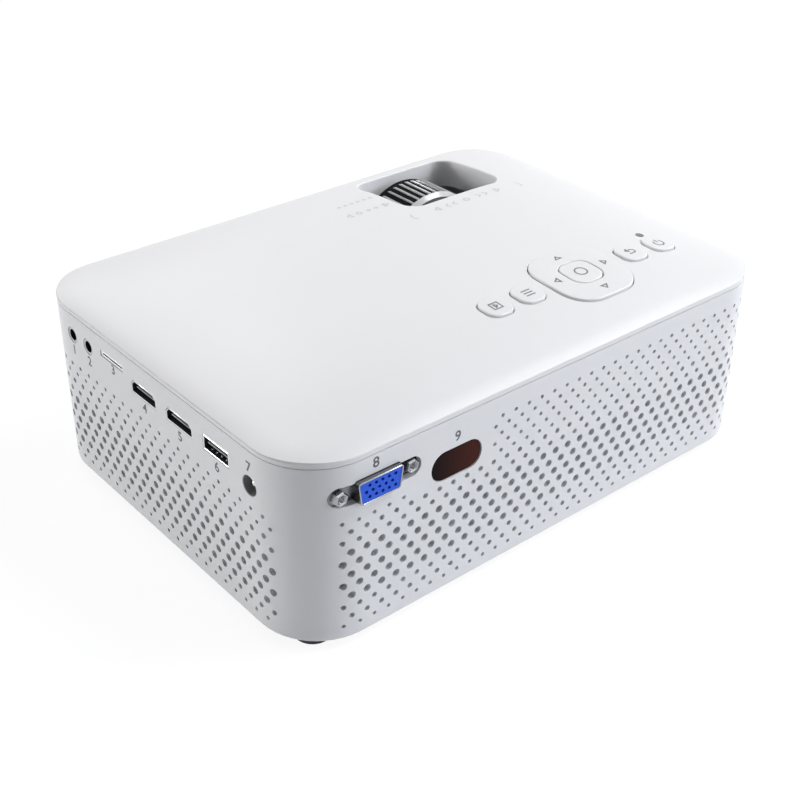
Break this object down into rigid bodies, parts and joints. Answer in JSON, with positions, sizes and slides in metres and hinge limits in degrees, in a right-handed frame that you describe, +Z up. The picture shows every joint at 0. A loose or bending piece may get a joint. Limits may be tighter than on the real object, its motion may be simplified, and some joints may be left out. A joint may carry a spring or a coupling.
{
  "type": "video projector with disc player",
  "caption": "Compact box-shaped video projector with a crowned lid, perforated walls, a direction pad, a focus ring under a finger opening and a slim disc tray in the front.",
  "frame": {"origin": "middle of the outer box, on the plane that the feet stand on", "axes": "+Z up, -Y out of the lens and the disc tray, +X out of the sockets' wall"},
  "size_m": [0.198, 0.1492, 0.0718],
  "materials": {
    "white_shell": "satin moulded case plastic",
    "key_white": "satin moulded keys",
    "ring_white": "glossy ribbed ring",
    "dark_plastic": "dark moulded plastic",
    "grey_plastic": "grey moulded plastic",
    "blue_plastic": "blue connector insulator",
    "window_red": "dark red infrared filter",
    "light_pipe": "clear light pipe",
    "board_green": "glass epoxy circuit board",
    "bright_metal": "bright plated shells",
    "steel": "plated sheet steel",
    "black_steel": "black screws",
    "aluminium": "extruded aluminium",
    "brass": "turned brass insert",
    "optical_glass": "coated optical glass",
    "mirror_glass": "front surface mirror",
    "cone_paper": "pressed cone paper",
    "foot_rubber": "rubber feet"
  },
  "bodies": {
    "case": {"body_shell": "white_shell", "top_cover": "white_shell", "base_plate": "white_shell", "rubber_feet": "foot_rubber", "case_screws": "black_steel", "tripod_insert": "brass", "deck": "grey_plastic", "lens_sleeve": "dark_plastic", "lens_trim": "grey_plastic", "engine_case": "dark_plastic", "engine_lid": "dark_plastic", "panel_frame": "dark_plastic", "image_panel": "optical_glass", "fresnel_lenses": "light_pipe", "fold_mirror": "mirror_glass", "condenser_holder": "dark_plastic", "condenser_lens": "optical_glass", "lamp_board": "aluminium", "heat_sink": "aluminium", "power_board": "board_green", "fan_frame": "dark_plastic", "speaker_frame": "black_steel", "speaker_cone": "cone_paper", "main_board": "board_green", "key_board": "board_green", "indicator_light": "light_pipe", "headphone_jack": "dark_plastic", "av_jack": "dark_plastic", "card_socket": "bright_metal", "video_shells": "bright_metal", "video_inserts": "dark_plastic", "data_shell": "bright_metal", "data_insert": "light_pipe", "power_jack": "dark_plastic", "analog_shell": "bright_metal", "analog_insert": "blue_plastic", "analog_jackscrews": "bright_metal", "remote_window": "window_red", "drive_chassis": "steel", "drive_lid": "steel"},
    "focus_ring": {"focus_ring": "ring_white"},
    "lens_barrel": {"lens_barrel": "dark_plastic", "lens_elements": "optical_glass", "element_clamp": "dark_plastic"},
    "source_key": {"source_key": "key_white"},
    "menu_key": {"menu_key": "key_white"},
    "return_key": {"return_key": "key_white"},
    "power_key": {"power_key": "key_white"},
    "ok_key": {"ok_key": "key_white"},
    "nav_gimbal": {"nav_gimbal": "dark_plastic"},
    "nav_pad": {"nav_pad": "key_white"},
    "fan_impeller": {"fan_impeller": "dark_plastic"},
    "disc_tray": {"disc_tray": "dark_plastic", "tray_bezel": "white_shell", "traverse_plate": "steel", "guide_rods": "bright_metal"},
    "tray_rails": {"tray_rails": "steel"},
    "eject_button": {"eject_button": "key_white"},
    "spindle_hub": {"spindle_hub": "dark_plastic"},
    "pickup_sled": {"pickup_sled": "grey_plastic"}
  },
  "joints": [
    {"name": "focus_turn", "type": "hinge", "parent": "case", "child": "focus_ring", "pos_m": [-0.047, -0.048, 0.045], "axis": [0, 1, 0], "range_deg": [-60, 60]},
    {"name": "focus_travel", "type": "slide", "parent": "case", "child": "lens_barrel", "axis": [0, 1, 0], "range_m": [-0.003, 0.003]},
    {"name": "source_key_press", "type": "slide", "parent": "case", "child": "source_key", "axis": [0, 0, -1], "range_m": [0, 0.0006], "stiffness_N_per_m": 900},
    {"name": "menu_key_press", "type": "slide", "parent": "case", "child": "menu_key", "axis": [0, 0, -1], "range_m": [0, 0.0006], "stiffness_N_per_m": 900},
    {"name": "return_key_press", "type": "slide", "parent": "case", "child": "return_key", "axis": [0, 0, -1], "range_m": [0, 0.0006], "stiffness_N_per_m": 900},
    {"name": "power_key_press", "type": "slide", "parent": "case", "child": "power_key", "axis": [0, 0, -1], "range_m": [0, 0.0006], "stiffness_N_per_m": 900},
    {"name": "ok_key_press", "type": "slide", "parent": "case", "child": "ok_key", "axis": [0, 0, -1], "range_m": [0, 0.0006], "stiffness_N_per_m": 900},
    {"name": "pad_tip_front_back", "type": "hinge", "parent": "case", "child": "nav_gimbal", "pos_m": [-0.0373, 0.0441, 0.0646], "axis": [1, 0, 0], "range_deg": [-1, 1], "stiffness_Nm_per_rad": 3},
    {"name": "pad_tip_side", "type": "hinge", "parent": "nav_gimbal", "child": "nav_pad", "pos_m": [-0.0373, 0.0441, 0.0646], "axis": [0, 1, 0], "range_deg": [-1, 1], "stiffness_Nm_per_rad": 3},
    {"name": "fan_spin", "type": "hinge", "parent": "case", "child": "fan_impeller", "pos_m": [-0.09, 0.013, 0.041], "axis": [1, 0, 0], "continuous": true},
    {"name": "tray_travel", "type": "slide", "parent": "case", "child": "disc_tray", "axis": [0, -1, 0], "range_m": [0, 0.112]},
    {"name": "rail_travel", "type": "slide", "parent": "case", "child": "tray_rails", "axis": [0, -1, 0], "range_m": [0, 0.056]},
    {"name": "eject_press", "type": "slide", "parent": "disc_tray", "child": "eject_button", "axis": [0, 1, 0], "range_m": [0, 0.0004], "stiffness_N_per_m": 900},
    {"name": "spindle_spin", "type": "hinge", "parent": "disc_tray", "child": "spindle_hub", "pos_m": [0, -0.0084, 0.0114], "axis": [0, 0, 1], "continuous": true},
    {"name": "sled_travel", "type": "slide", "parent": "disc_tray", "child": "pickup_sled", "axis": [0, 1, 0], "range_m": [0, 0.02]}
  ],
  "couplings": [
    {"joint": "focus_travel", "follows": "focus_turn", "m_per_rad": 0.0028361},
    {"joint": "rail_travel", "follows": "tray_travel", "ratio": 0.5}
  ]
}
